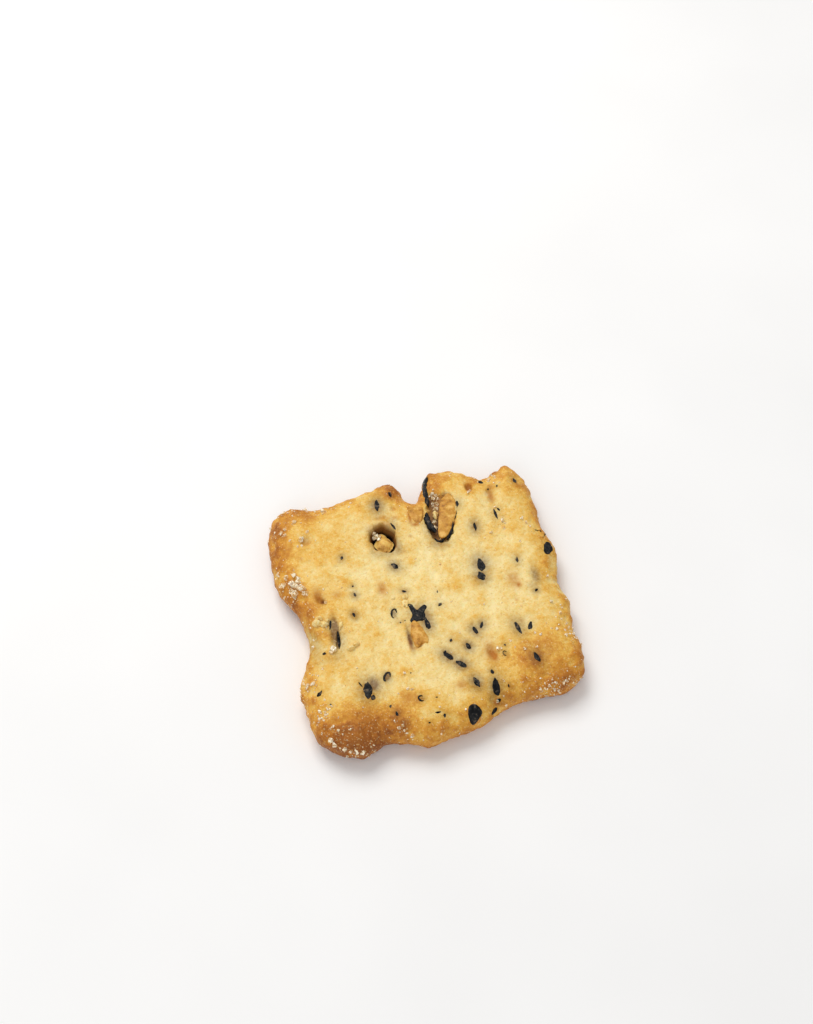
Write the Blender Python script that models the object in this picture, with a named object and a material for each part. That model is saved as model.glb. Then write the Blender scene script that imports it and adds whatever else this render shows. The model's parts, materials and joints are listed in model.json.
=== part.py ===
"""A square baked cracker with a scalloped rim, chopped black beans in its dough and coarse sugar on it.

It lies flat with +Z up, its sides run along X and Y, and the origin is under its middle, on the surface
that it lies on. Sizes and places are in millimetres until a mesh is made.
"""

import math
import random

import bpy
import numpy as np
from mathutils import Matrix, Vector, noise

MM = 0.001

# Rim: its corners, scallop crests and hollows, clockwise from the middle of the left side
RIM_POINTS = (
    (-19.7, -2.6), (-20.3, 2.8), (-22.4, 7.6), (-22.6, 12.4), (-22.2, 17.6), (-20.5, 21.3), (-17.1, 22.3),
    (-13.6, 21.2), (-9.0, 21.9), (-4.8, 22.7), (-1.5, 23.3), (0.6, 22.4), (1.6, 19.4), (2.9, 18.7), (4.3, 20.9),
    (5.6, 23.3), (8.6, 23.9), (12.0, 22.7), (14.3, 20.5), (16.6, 21.0), (19.2, 22.1), (21.2, 19.4),
    (22.0, 14.6), (21.7, 9.4), (22.8, 5.0), (22.2, 1.4), (21.4, -1.6), (22.1, -5.2), (21.2, -10.4),
    (21.7, -14.4), (20.4, -18.3), (17.2, -20.0), (12.4, -20.0), (7.6, -20.5), (3.4, -22.4), (-1.2, -23.2),
    (-5.6, -23.9), (-9.2, -22.5), (-12.2, -22.0), (-15.7, -23.3), (-19.4, -21.8), (-22.2, -18.6),
    (-22.7, -13.6), (-22.7, -9.8), (-20.6, -5.9),
)
RIM_SAMPLES = 126

# Dough: heights of the rim's widest line and of the top, how far in each face levels out, and how full its curve is
RIM_HEIGHT = 3.0
CROWN_HEIGHT = 6.1
TOP_REACH = 5.4
TOP_FULLNESS = 2.15
FOOT_REACH = 3.0
FOOT_FULLNESS = 2.3

# Rings of the mesh: shares of the way in from the rim to an eased shoulder line, then from there to the middle
SHOULDER_SHARE = 0.78
SHOULDER_EASING = 40
TOP_STEPS = (0.03, 0.11, 0.24, 0.43, 0.68, 1.0)
FOOT_STEPS = (0.04, 0.14, 0.30, 0.55, 1.0)
FLAT_SHARE = 0.8
INNER_RINGS = 8

# Swells and hollows of the top face: across, along, half width, half length and rise of each
SWELLS = (
    (0.0, -1.0, 13.0, 13.0, -0.45),
    (-17.0, 16.5, 5.5, 5.0, 0.40),
    (-17.5, -17.0, 5.0, 5.0, 0.35),
    (18.0, 17.0, 3.5, 4.5, 0.35),
    (18.0, -15.5, 4.0, 4.0, 0.30),
    (-5.5, -19.5, 4.5, 3.0, 0.25),
    (19.0, 4.0, 2.5, 3.5, 0.25),
    (14.6, 15.2, 1.5, 2.3, -0.45),
    (-16.5, 3.1, 1.5, 1.9, -0.50),
)
WAVE_HEIGHT = 0.2
RIM_WAVE_HEIGHT = 0.55
WAVE_LENGTH = 6.5

# Broken blister: a pit with a piece of bean at its bottom
PIT_CENTRE = (-4.1, 12.0)
PIT_HALF_SIZE = (1.9, 2.8, 1.9)
PIT_BEAN_CENTRE = (-4.2, 11.2)
PIT_BEAN_HALF_SIZE = (1.25, 1.7, 0.8)
PIT_BEAN_DEPTH = 1.5

# Half bean that lies cut side up at the far side, with the skin that shows along its left edge
BEAN_CENTRE = (6.1, 15.3)
BEAN_HALF_SIZE = (2.6, 6.4, 2.4)
BEAN_TURN = -12
BEAN_STANDS_OUT = 0.22

# Cut bean wedges: across, along, length, width and turn in degrees
WEDGES = (
    (2.0, 15.3, 3.0, 2.2, 262),
    (-3.8, -6.8, 4.3, 2.9, 74),
)

# Bits of black bean skin: across, along, length, width and turn in degrees
SKIN_BITS = (
    (3.7, 12.8, 4.0, 1.4, 101),
    (4.7, 18.9, 5.6, 1.1, 74),
    (-3.8, 18.4, 2.3, 1.1, 80),
    (-2.2, 13.7, 1.5, 0.6, 112),
    (-3.7, 6.3, 1.4, 1.0, 135),
    (-5.9, -2.3, 2.0, 0.9, 86),
    (-3.1, -2.7, 2.6, 1.0, 94),
    (-1.7, -3.1, 2.5, 1.2, 24),
    (-1.2, -5.1, 1.6, 0.8, 92),
    (9.8, 3.3, 2.7, 1.2, 100),
    (9.1, 1.3, 1.9, 1.2, 128),
    (10.7, 10.4, 1.7, 0.8, 90),
    (14.7, 12.0, 2.1, 0.6, 100),
    (15.5, 2.7, 1.2, 0.6, 76),
    (21.0, 3.6, 2.4, 1.6, 80),
    (5.9, -7.8, 1.5, 0.9, 108),
    (12.3, -9.3, 2.1, 0.7, 104),
    (14.2, -9.5, 1.5, 0.9, 76),
    (3.9, -10.6, 1.3, 0.8, 108),
    (0.3, -11.5, 1.9, 0.9, 134),
    (1.9, -13.2, 1.9, 1.0, 140),
    (13.8, -15.0, 2.0, 0.9, 100),
    (-9.6, -12.8, 1.7, 1.0, 66),
    (-13.0, -14.4, 3.2, 1.6, 84),
    (-20.1, -12.9, 1.4, 0.9, 44),
    (3.5, -16.9, 2.0, 1.0, 106),
    (6.1, -18.5, 3.7, 1.5, 88),
    (1.9, -21.4, 3.3, 2.0, 82),
    (-5.3, -17.6, 1.4, 1.1, 76),
    (-15.4, -4.6, 3.5, 0.7, 80),
)
SKIN_THICKNESS = 0.9
SKIN_STANDS_OUT = 0.16
SKIN_SIDES = 6

# Sugar: places of the larger grains on the top face, and how many more lie along the rim
SUGAR_PLACES = (
    (-20.3, 7.6), (-20.4, 5.6), (-19.0, 6.4), (-18.4, 5.0), (-17.1, 14.6), (-17.4, 18.5), (-19.6, 16.6),
    (-17.6, -1.2), (-16.4, -6.6), (-13.6, -6.8), (-8.2, -22.0), (15.5, 9.9), (19.6, 8.6), (19.4, -1.4),
    (18.6, -6.3), (18.2, -11.0), (19.3, -12.0), (8.1, -12.2), (-6.6, -15.8),
)
SUGAR_ON_RIM = 26
SUGAR_SIZE = (0.65, 1.0)
SUGAR_LIFT = 0.1
RIM_SUGAR_INSET = (0.1, 1.4)

SEED = 7

# Colours as linear red, green and blue, with roughness
DOUGH_COLOUR = (0.76, 0.52, 0.22)
SKIN_COLOUR = (0.012, 0.013, 0.018)
FLESH_COLOUR = (0.66, 0.36, 0.12)
SUGAR_COLOUR = (0.90, 0.84, 0.74)


def clear_scene():
    """Takes every object out of the scene."""
    for thing in list(bpy.data.objects):
        bpy.data.objects.remove(thing)


def material(name, colour, roughness):
    """A plain material of one colour."""
    made = bpy.data.materials.new(name)
    made.use_nodes = True
    shader = made.node_tree.nodes["Principled BSDF"]
    shader.inputs["Base Color"].default_value = (*colour, 1.0)
    shader.inputs["Roughness"].default_value = roughness
    shader.inputs["Metallic"].default_value = 0.0
    return made


def closed_curve(points, samples):
    """A smooth closed curve through the points, sampled evenly along its length."""
    knots = np.array(points)
    steps = 24
    t = np.linspace(0, 1, steps, endpoint=False)[:, None]
    pieces = []
    for a, b, c, d in zip(np.roll(knots, 1, 0), knots, np.roll(knots, -1, 0), np.roll(knots, -2, 0)):
        bend = (2 * a - 5 * b + 4 * c - d) * t**2 + (3 * b - a - 3 * c + d) * t**3
        pieces.append(b + ((c - a) * t + bend) / 2)
    dense = np.vstack([*pieces, pieces[0][:1]])
    run = np.concatenate([[0], np.cumsum(np.linalg.norm(np.diff(dense, axis=0), axis=1))])
    even = np.linspace(0, run[-1], samples, endpoint=False)
    return np.column_stack([np.interp(even, run, dense[:, axis]) for axis in (0, 1)])


OUTLINE = closed_curve(RIM_POINTS, RIM_SAMPLES)
FINE_OUTLINE = closed_curve(RIM_POINTS, RIM_SAMPLES * 3)


def outward(points):
    """The outward direction at each point of a clockwise outline."""
    along = np.roll(points, -1, 0) - np.roll(points, 1, 0)
    across = np.column_stack([-along[:, 1], along[:, 0]])
    return across / np.linalg.norm(across, axis=1)[:, None]


def inset_of(points):
    """How far in from the rim each point lies."""
    start = FINE_OUTLINE
    step = np.roll(FINE_OUTLINE, -1, 0) - start
    away = points[:, None, :] - start[None]
    share = np.clip((away * step).sum(2) / (step * step).sum(1), 0, 1)
    return np.linalg.norm(away - share[..., None] * step, axis=2).min(1)


def relief(points):
    """Rise of the top face over a level one: its swells, hollows and slow waves."""
    rise = np.zeros(len(points))
    for across, along, half_width, half_length, height in SWELLS:
        off = ((points[:, 0] - across) / half_width) ** 2 + ((points[:, 1] - along) / half_length) ** 2
        rise += height * np.exp(-off)
    return rise + WAVE_HEIGHT * waves(points, 0)


def waves(points, layer):
    """Slow waves from -1 to 1, another set for each layer."""
    return np.array([noise.noise(Vector((x / WAVE_LENGTH, y / WAVE_LENGTH, layer))) for x, y in points])


def rim_height(points):
    """Height of the rim's widest line, which rises and falls a little."""
    return RIM_HEIGHT + RIM_WAVE_HEIGHT * waves(points, 5.5)


def quarter(inset, reach, fullness):
    """Height along a full quarter curve, from 0 at the rim to 1 where it has levelled out."""
    left = 1 - np.clip(inset / reach, 0, 1)
    return (1 - left**fullness) ** (1 / fullness)


def top_height(points):
    """Height of the top face over the surface that the cracker lies on."""
    inset = inset_of(points)
    rim = rim_height(points)
    level = rim + (CROWN_HEIGHT - rim) * quarter(inset, TOP_REACH, TOP_FULLNESS)
    return level + relief(points) * np.clip(inset / TOP_REACH, 0, 1)


def foot_height(points):
    """Height of the underside, which is flat inside the rounded foot of the rim."""
    return rim_height(points) * (1 - quarter(inset_of(points), FOOT_REACH, FOOT_FULLNESS))


def top_place(across, along):
    """Where a thing lies on the top face, and the direction that it faces there."""
    near = 0.3
    spots = np.array([(across, along), (across + near, along), (across, along + near)])
    height, right, back = top_height(spots)
    facing = Vector((height - right, height - back, near)).normalized()
    return Vector((across, along, height)), facing


def eased(points, times):
    """The points of a ring, each drawn towards its neighbours the given number of times."""
    for _ in range(times):
        points = (np.roll(points, 1, 0) + 2 * points + np.roll(points, -1, 0)) / 4
    return points


def with_height(ring, height):
    """A ring's points with their heights."""
    return np.column_stack([ring, height(ring)])


def mesh_object(name, points, faces, finish):
    """An object in the scene's own collection, from points in millimetres."""
    mesh = bpy.data.meshes.new(name)
    mesh.from_pydata([Vector(point) * MM for point in points], [], faces)
    mesh.materials.append(finish)
    made = bpy.data.objects.new(name, mesh)
    bpy.context.scene.collection.objects.link(made)
    return made


def dough_body(finish):
    """The dough as rings from the middle of its underside out round the rim to the middle of the top."""
    shoulder = eased(OUTLINE, SHOULDER_EASING) * SHOULDER_SHARE
    rings = [with_height(shoulder * FLAT_SHARE, foot_height)]
    for share in reversed(FOOT_STEPS):
        rings.append(with_height(OUTLINE + (shoulder - OUTLINE) * share, foot_height))
    rings.append(with_height(OUTLINE, rim_height))
    for share in TOP_STEPS:
        rings.append(with_height(OUTLINE + (shoulder - OUTLINE) * share, top_height))
    for step in range(1, INNER_RINGS + 1):
        rings.append(with_height(shoulder * (1 - step / (INNER_RINGS + 1)), top_height))
    middle = np.zeros((1, 2))
    points = [(0, 0, 0), *np.vstack(rings), (0, 0, top_height(middle)[0])]
    faces = []
    for i in range(RIM_SAMPLES):
        after = (i + 1) % RIM_SAMPLES
        faces.append((0, 1 + i, 1 + after))
        for ring in range(len(rings) - 1):
            near = 1 + ring * RIM_SAMPLES
            far = near + RIM_SAMPLES
            faces.append((near + i, far + i, far + after, near + after))
        last = 1 + (len(rings) - 1) * RIM_SAMPLES
        faces.append((last + i, len(points) - 1, last + after))
    return mesh_object("cracker", points, faces, finish)


def egg(name, centre, half_size, turn, finish, cut_above=None):
    """An ellipsoid turned about +Z, with what is above its cut taken off level."""
    sides = 14
    storeys = 8
    spin = Matrix.Rotation(math.radians(turn), 3, "Z")
    points = []
    for storey in range(1, storeys):
        down = math.pi * storey / storeys
        for side in range(sides):
            round_by = 2 * math.pi * side / sides
            out = math.sin(down)
            points.append((out * math.cos(round_by), out * math.sin(round_by), math.cos(down)))
    points += [(0, 0, 1), (0, 0, -1)]
    placed = []
    for point in points:
        spot = spin @ Vector([a * b for a, b in zip(point, half_size)]) + centre
        if cut_above is not None:
            spot.z = min(spot.z, cut_above)
        placed.append(spot)
    top, bottom = len(points) - 2, len(points) - 1
    faces = []
    for side in range(sides):
        after = (side + 1) % sides
        faces.append((side, after, top))
        for storey in range(storeys - 2):
            upper = storey * sides
            lower = upper + sides
            faces.append((upper + side, lower + side, lower + after, upper + after))
        last = (storeys - 2) * sides
        faces.append((last + after, last + side, bottom))
    return mesh_object(name, placed, faces, finish)


def chip(name, place, facing, size, turn, sides, finish, rng):
    """An angular bit, a low frustum that faces outwards: size is its length, width, rise and depth."""
    length, width, rise, depth = size
    lean = facing.to_track_quat("Z", "Y").to_matrix()
    spin = Matrix.Rotation(math.radians(turn), 3, "Z")
    spread = [rng.uniform(0.82, 1.08) for _ in range(sides)]
    points = []
    for level, share in ((-depth, 0.8), (rise, 0.86)):
        for side in range(sides):
            round_by = 2 * math.pi * side / sides
            out = spread[side] * share
            flat = Vector((math.cos(round_by) * length * out / 2, math.sin(round_by) * width * out / 2, 0))
            points.append(place + spin @ flat + lean @ Vector((0, 0, level)))
    lower = tuple(reversed(range(sides)))
    upper = tuple(range(sides, 2 * sides))
    walls = [(i, (i + 1) % sides, (i + 1) % sides + sides, i + sides) for i in range(sides)]
    return mesh_object(name, points, [lower, upper, *walls], finish)


def grain(name, place, facing, size, finish, rng):
    """A grain of coarse sugar: a block with uneven corners, sunk into the dough."""
    turn = rng.uniform(0, math.pi)
    tilt = Matrix.Rotation(turn, 3, "Z") @ Matrix.Rotation(rng.uniform(-0.5, 0.5), 3, "X")
    centre = place + facing * size * SUGAR_LIFT
    points = []
    for up in (-0.5, 0.5):
        for x, y in ((-0.5, -0.5), (0.5, -0.5), (0.5, 0.5), (-0.5, 0.5)):
            corner = Vector((x * rng.uniform(0.7, 1.0), y * rng.uniform(0.7, 1.0), up * rng.uniform(0.7, 0.95)))
            points.append(centre + tilt @ corner * size)
    faces = [(3, 2, 1, 0), (4, 5, 6, 7), (0, 1, 5, 4), (1, 2, 6, 5), (2, 3, 7, 6), (3, 0, 4, 7)]
    return mesh_object(name, points, faces, finish)


def bean_pieces(skin, flesh, rng):
    """The half bean, the cut wedges, the piece in the pit and the bits of black skin."""
    made = []
    place, _ = top_place(*BEAN_CENTRE)
    level = place.z + BEAN_STANDS_OUT
    made.append(egg("half_bean", place, BEAN_HALF_SIZE, BEAN_TURN, flesh, cut_above=level))
    place, _ = top_place(*PIT_BEAN_CENTRE)
    sunk = place - Vector((0, 0, PIT_BEAN_DEPTH))
    made.append(egg("pit_bean", sunk, PIT_BEAN_HALF_SIZE, 0, flesh))
    for across, along, length, width, turn in WEDGES:
        place, facing = top_place(across, along)
        size = (length, width, BEAN_STANDS_OUT, SKIN_THICKNESS)
        made.append(chip("wedge", place, facing, size, turn, 3, flesh, rng))
    for across, along, length, width, turn in SKIN_BITS:
        place, facing = top_place(across, along)
        size = (length, width, SKIN_STANDS_OUT, SKIN_THICKNESS)
        made.append(chip("skin_bit", place, facing, size, turn, SKIN_SIDES, skin, rng))
    return made


def sugar_grains(finish, rng):
    """The larger grains at their places, and more at random along the upper rim."""
    spots = list(SUGAR_PLACES)
    rim_normals = outward(OUTLINE)
    for number in range(SUGAR_ON_RIM):
        at = round((number + rng.random()) * RIM_SAMPLES / SUGAR_ON_RIM) % RIM_SAMPLES
        inset = rng.uniform(*RIM_SUGAR_INSET)
        spots.append(OUTLINE[at] - rim_normals[at] * inset)
    made = []
    for across, along in spots:
        place, facing = top_place(across, along)
        made.append(grain("sugar", place, facing, rng.uniform(*SUGAR_SIZE), finish, rng))
    return made


def apply_modifiers(thing):
    """Makes what the modifiers give the object's own mesh."""
    graph = bpy.context.evaluated_depsgraph_get()
    old = thing.data
    result = bpy.data.meshes.new_from_object(thing.evaluated_get(graph))
    thing.modifiers.clear()
    thing.data = result
    bpy.data.meshes.remove(old)
    result.name = thing.name


def cut_pit(body, finish):
    """Takes the broken blister out of the top face."""
    place, _ = top_place(*PIT_CENTRE)
    cutter = egg("pit", place, PIT_HALF_SIZE, 0, finish)
    cut = body.modifiers.new("pit", "BOOLEAN")
    cut.operation = "DIFFERENCE"
    cut.object = cutter
    apply_modifiers(body)
    bpy.data.objects.remove(cutter)


def fuse(body, pieces):
    """Joins the pieces to the body as one solid."""
    toppings = bpy.data.collections.new("toppings")
    bpy.context.scene.collection.children.link(toppings)
    for piece in pieces:
        bpy.context.scene.collection.objects.unlink(piece)
        toppings.objects.link(piece)
    join = body.modifiers.new("toppings", "BOOLEAN")
    join.operation = "UNION"
    join.operand_type = "COLLECTION"
    join.collection = toppings
    join.material_mode = "TRANSFER"
    apply_modifiers(body)
    for piece in pieces:
        bpy.data.objects.remove(piece)
    bpy.data.collections.remove(toppings)


def main():
    clear_scene()
    rng = random.Random(SEED)
    dough = material("dough", DOUGH_COLOUR, 0.75)
    skin = material("bean_skin", SKIN_COLOUR, 0.35)
    flesh = material("bean_flesh", FLESH_COLOUR, 0.6)
    sugar = material("sugar", SUGAR_COLOUR, 0.25)
    cracker = dough_body(dough)
    cut_pit(cracker, dough)
    fuse(cracker, bean_pieces(skin, flesh, rng) + sugar_grains(sugar, rng))


main()
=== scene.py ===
"""Looks of a square baked cracker with black beans and coarse sugar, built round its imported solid.

Sizes and places are in millimetres until a mesh is made. The cracker lies flat, its shown face up.
"""

import json
import math
import random

import bpy
import bmesh
import numpy as np
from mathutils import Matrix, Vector, noise
from mathutils.bvhtree import BVHTree

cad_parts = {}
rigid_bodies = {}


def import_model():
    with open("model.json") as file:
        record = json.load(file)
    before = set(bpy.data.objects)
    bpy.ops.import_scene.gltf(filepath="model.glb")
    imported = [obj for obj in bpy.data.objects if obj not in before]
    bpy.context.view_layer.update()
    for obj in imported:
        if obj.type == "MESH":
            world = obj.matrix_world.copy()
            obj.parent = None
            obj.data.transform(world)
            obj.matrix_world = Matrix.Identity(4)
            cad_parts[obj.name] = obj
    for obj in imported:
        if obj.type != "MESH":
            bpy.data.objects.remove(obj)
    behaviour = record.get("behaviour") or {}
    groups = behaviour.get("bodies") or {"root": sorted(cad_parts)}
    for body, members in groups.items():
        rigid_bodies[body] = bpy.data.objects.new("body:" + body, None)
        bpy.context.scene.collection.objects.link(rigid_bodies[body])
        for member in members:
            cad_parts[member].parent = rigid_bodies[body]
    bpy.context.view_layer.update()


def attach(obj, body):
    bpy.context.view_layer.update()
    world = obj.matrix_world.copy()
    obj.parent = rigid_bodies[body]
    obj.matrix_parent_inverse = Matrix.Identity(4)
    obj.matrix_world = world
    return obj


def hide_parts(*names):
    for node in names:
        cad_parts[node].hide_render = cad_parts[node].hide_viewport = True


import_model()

MM = 0.001
SEED = 7

# Camera: where it looks, from which side and how far, with the photograph's lens
CAMERA_TARGET = (1.03, 17.56, 3.52)
CAMERA_AZIMUTH = math.radians(-14)
CAMERA_ELEVATION = math.radians(57)
CAMERA_DISTANCE = 282
CAMERA_LENS = 60
CAMERA_BACK = Vector((
    math.sin(CAMERA_AZIMUTH) * math.cos(CAMERA_ELEVATION),
    -math.cos(CAMERA_AZIMUTH) * math.cos(CAMERA_ELEVATION),
    math.sin(CAMERA_ELEVATION),
))
EYE = Vector(CAMERA_TARGET) + CAMERA_BACK * CAMERA_DISTANCE

# Every place on the face below was read off the photograph on a level plane at this height
READ_LEVEL = 6.3

# Rim: its corners, scallop crests and hollows, clockwise from the middle of the left side
RIM_POINTS = (
    (-19.7, -2.6), (-20.3, 2.8), (-22.4, 7.6), (-22.6, 12.4), (-22.2, 17.6), (-20.5, 21.3), (-17.1, 22.3),
    (-13.6, 21.2), (-9, 21.9), (-4.8, 22.7), (-1.5, 23.3), (0.6, 22.4), (1.6, 19.4), (2.9, 18.7),
    (4.3, 20.9), (5.6, 23.3), (8.6, 23.9), (12, 22.7), (14.3, 20.5), (16.6, 21), (19.2, 22.1), (21.2, 19.4),
    (22, 14.6), (21.7, 9.4), (22.8, 5), (22.2, 1.4), (21.4, -1.6), (22.1, -5.2), (21.2, -10.4),
    (21.7, -14.4), (20.4, -18.3), (17.2, -20), (12.4, -20), (7.6, -20.5), (3.4, -22.4), (-1.2, -23.2),
    (-5.6, -23.9), (-9.2, -22.5), (-12.2, -22), (-15.7, -23.3), (-19.4, -21.8), (-22.2, -18.6),
    (-22.7, -13.6), (-22.7, -9.8), (-20.6, -5.9),
)
RIM_SAMPLES = 840

# Dough: heights of the rim's widest line and of the top, and each face's reach and fullness of curve
RIM_HEIGHT = 3.0
CROWN_HEIGHT = 6.1
TOP_REACH = 5.4
TOP_FULLNESS = 2.15
FOOT_REACH = 3.0
FOOT_FULLNESS = 2.3

# Rings of the mesh: the shoulder line's place, the rings of each part and their crowding to the rim
SHOULDER_SHARE = 0.78
SHOULDER_EASING = 1600
TOP_RINGS = 36
TOP_CROWDING = 1.6
FOOT_RINGS = 17
FOOT_CROWDING = 1.8
MIDDLE_RINGS = 92
FLAT_RINGS = 22
HALVED_AT = 0.72
QUARTERED_AT = 0.36

# Swells and hollows of the top face: across, along, half width, half length and rise of each
SWELLS = (
    (0.0, -1.0, 13.0, 13.0, -0.45),
    (-17.0, 16.5, 5.5, 5.0, 0.40),
    (-17.5, -17.0, 5.0, 5.0, 0.35),
    (18.0, 17.0, 3.5, 4.5, 0.35),
    (18.0, -15.5, 4.0, 4.0, 0.30),
    (-5.5, -19.5, 4.5, 3.0, 0.25),
    (19.0, 4.0, 2.5, 3.5, 0.25),
    (14.6, 15.2, 1.5, 2.3, -0.45),
    (-16.5, 3.1, 1.5, 1.9, -0.50),
)
WAVE_HEIGHT = 0.2
RIM_WAVE_HEIGHT = 0.55
WAVE_LENGTH = 6.5
RIM_LAYER = 5.5

# Fine relief of the crust: wavelength and height of each layer, and of those that only the rim has
CRUST_LAYERS = ((2.4, 0.13), (1.2, 0.09), (0.62, 0.07))
RIM_LAYERS = ((1.5, 0.26), (0.8, 0.14))
RIM_LAYERS_REACH = 3.0
PORES = 420
PORE_SIZE = (0.14, 0.30)
PORE_DEPTH = 0.16
BLISTERS = 110
BLISTER_SIZE = (0.5, 1.2)
BLISTER_HEIGHT = 0.13

# Steep hollows: across, along, half width, half length, turn, depth, wall's share of radius, lip's rise
HOLLOWS = (
    (-4.25, 11.75, 2.1, 2.6, 8, 2.6, 0.32, 0.20),
    (5.9, 13.9, 2.5, 5.0, -15, 0.95, 0.3, 0.05),
    (11.7, 18.1, 0.7, 1.2, 10, 0.75, 0.8, 0.05),
    (14.8, 15.7, 0.75, 1.8, 0, 0.45, 0.9, 0.0),
    (-16.8, 3.2, 0.6, 1.1, 12, 0.5, 1.0, 0.0),
    (-16.7, 14.3, 1.1, 1.2, 0, 0.45, 0.8, 0.08),
    (2.2, 15.0, 1.35, 1.6, 0, 0.4, 0.5, 0.05),
    (-15.5, -4.8, 0.45, 1.9, -12, 0.75, 0.7, 0.05),
    (-16.1, -3.9, 0.5, 1.9, -8, 0.3, 0.9, 0.0),
    (-3.4, -6.7, 1.3, 2.5, 0, 0.35, 0.5, 0.0),
    (-3.8, -0.6, 0.8, 1.3, -8, 0.3, 0.8, 0.0),
    (7.2, -12.6, 0.7, 1.6, 0, 0.3, 0.9, 0.05),
    (6.1, -18.7, 0.8, 1.9, -14, 0.3, 0.8, 0.0),
    (5.2, -20.9, 0.9, 0.9, 0, 0.45, 0.9, 0.0),
    (-1.3, 17.0, 0.6, 0.5, 0, 0.25, 0.9, 0.05),
)
DEEPEST = 2.6
HOLLOW_RAGGEDNESS = 0.16

# Browning of the crust: everywhere, what the rim adds and how far in that reaches, and its waves
BROWNING = 0.2
BROWNING_AT_RIM = 0.32
BROWNING_REACH = 3.4
BROWNING_WAVES = 0.1

# Patches of more or less browning, one of them painted shade on the lower right of the face: across, along,
# half width, half length and amount
BROWNING_AND_SHADE_PATCHES = (
    (-16.6, -20.8, 5.6, 4, 0.62), (-11.5, -19, 4, 2.6, 0.16), (18, -17, 4, 3.6, 0.22),
    (13.5, -19, 5, 2, 0.16), (-20.5, 15.5, 3, 6, 0.27), (-17, 19.5, 4.5, 2.2, 0.18),
    (-20.5, 5, 1.8, 3, 0.26), (18.6, 18, 2.6, 3.6, 0.18), (20, 13, 2.2, 5, -0.16),
    (21.4, 11, 0.7, 5, 0.06), (16.4, 10.5, 2.6, 5.5, 0.12), (-0.6, 20.6, 2.2, 2.2, 0.34),
    (6.6, 20.6, 2.6, 2, 0.2), (20.4, 5.6, 1.6, 2.6, 0.16), (20.3, -3, 2.2, 6, -0.12),
    (-4, -22, 5, 2, 0.1), (-6, -17.4, 5, 2.2, 0.24), (16, -12.4, 3.4, 3, 0.14),
    # The first patch on the next line, on the lower right of the face, is painted shade
    (11.5, -14, 5.5, 3, 0.3), (-15.5, -10.5, 4, 3.5, 0.06), (-12.5, 12, 6, 6, 0.16),
    (-14.5, 2, 4, 2.6, 0.14), (-19.5, -3.5, 2.2, 5, -0.14), (3, 1.5, 9, 7, -0.05),
    (11.5, -3, 6, 6, -0.04), (-9.5, 5, 4, 4, -0.07),
)

# Caramel spots: across, along, half width, half length and amount
CARAMELS = (
    (7, -12.5, 0.85, 1.8, 0.9), (7.5, -13.2, 0.4, 0.9, 0.8), (14, -0.7, 1, 1.5, 0.6),
    (14.6, -1.9, 0.4, 0.5, 0.8), (-6.7, 2.6, 0.7, 1.2, 0.8), (-16.9, 3.6, 0.9, 1.3, 0.9),
    (-16.4, 2.6, 0.3, 0.4, 1), (-13.9, 3.3, 0.9, 0.7, 0.5), (11.7, 18.3, 0.6, 1.1, 1),
    (14.8, 15.8, 0.5, 1.5, 0.8), (15.4, 17.3, 0.4, 0.6, 0.5), (-7.4, -17.1, 1.2, 1.2, 0.55),
    (-19, -18, 0.6, 0.5, 0.7), (-14, -19.2, 0.9, 0.6, 0.5), (-16.6, -21.2, 1.4, 0.8, 0.6),
    (17.4, -18.5, 2, 0.8, 0.55), (20.6, -15, 0.8, 1.4, 0.5), (11, -20.6, 1.4, 0.5, 0.5),
    (14.4, -12.7, 0.5, 0.35, 0.5), (1.1, -16.9, 0.8, 0.8, 0.6), (-4, 14.1, 1.7, 0.6, 0.7),
    (-5.9, 12, 0.4, 1.8, 0.7), (-4.75, -8, 0.3, 1.1, 1), (-4.1, -9, 0.7, 0.3, 0.6),
    (-3.4, 1.25, 0.4, 0.25, 0.7), (-1.2, 17, 0.6, 0.5, 0.5), (13.5, -4.4, 0.3, 0.3, 0.45),
    (13.2, -8.2, 0.35, 0.3, 0.4), (0.8, 14.6, 0.3, 1.2, 1.1), (1.5, 13.1, 0.6, 0.35, 1.1),
    (5, 17, 0.9, 1.6, 0.6), (-1.6, 15.2, 0.6, 0.4, 0.5), (-3.6, 15.6, 1.2, 0.5, 0.5),
    (-19.4, 13.5, 0.35, 0.4, 0.6), (-19.9, 12.4, 0.3, 0.4, 0.6), (-18, 11.2, 0.3, 0.35, 0.5),
    (-2.6, 9.7, 0.3, 0.3, 0.8), (0.1, 11.2, 0.3, 0.3, 0.6), (-8.9, -19.2, 0.5, 0.3, 0.6),
    (-20.5, 6.2, 0.8, 1.6, 0.5), (-16.4, 14.2, 0.7, 0.8, 0.45),
)
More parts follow.
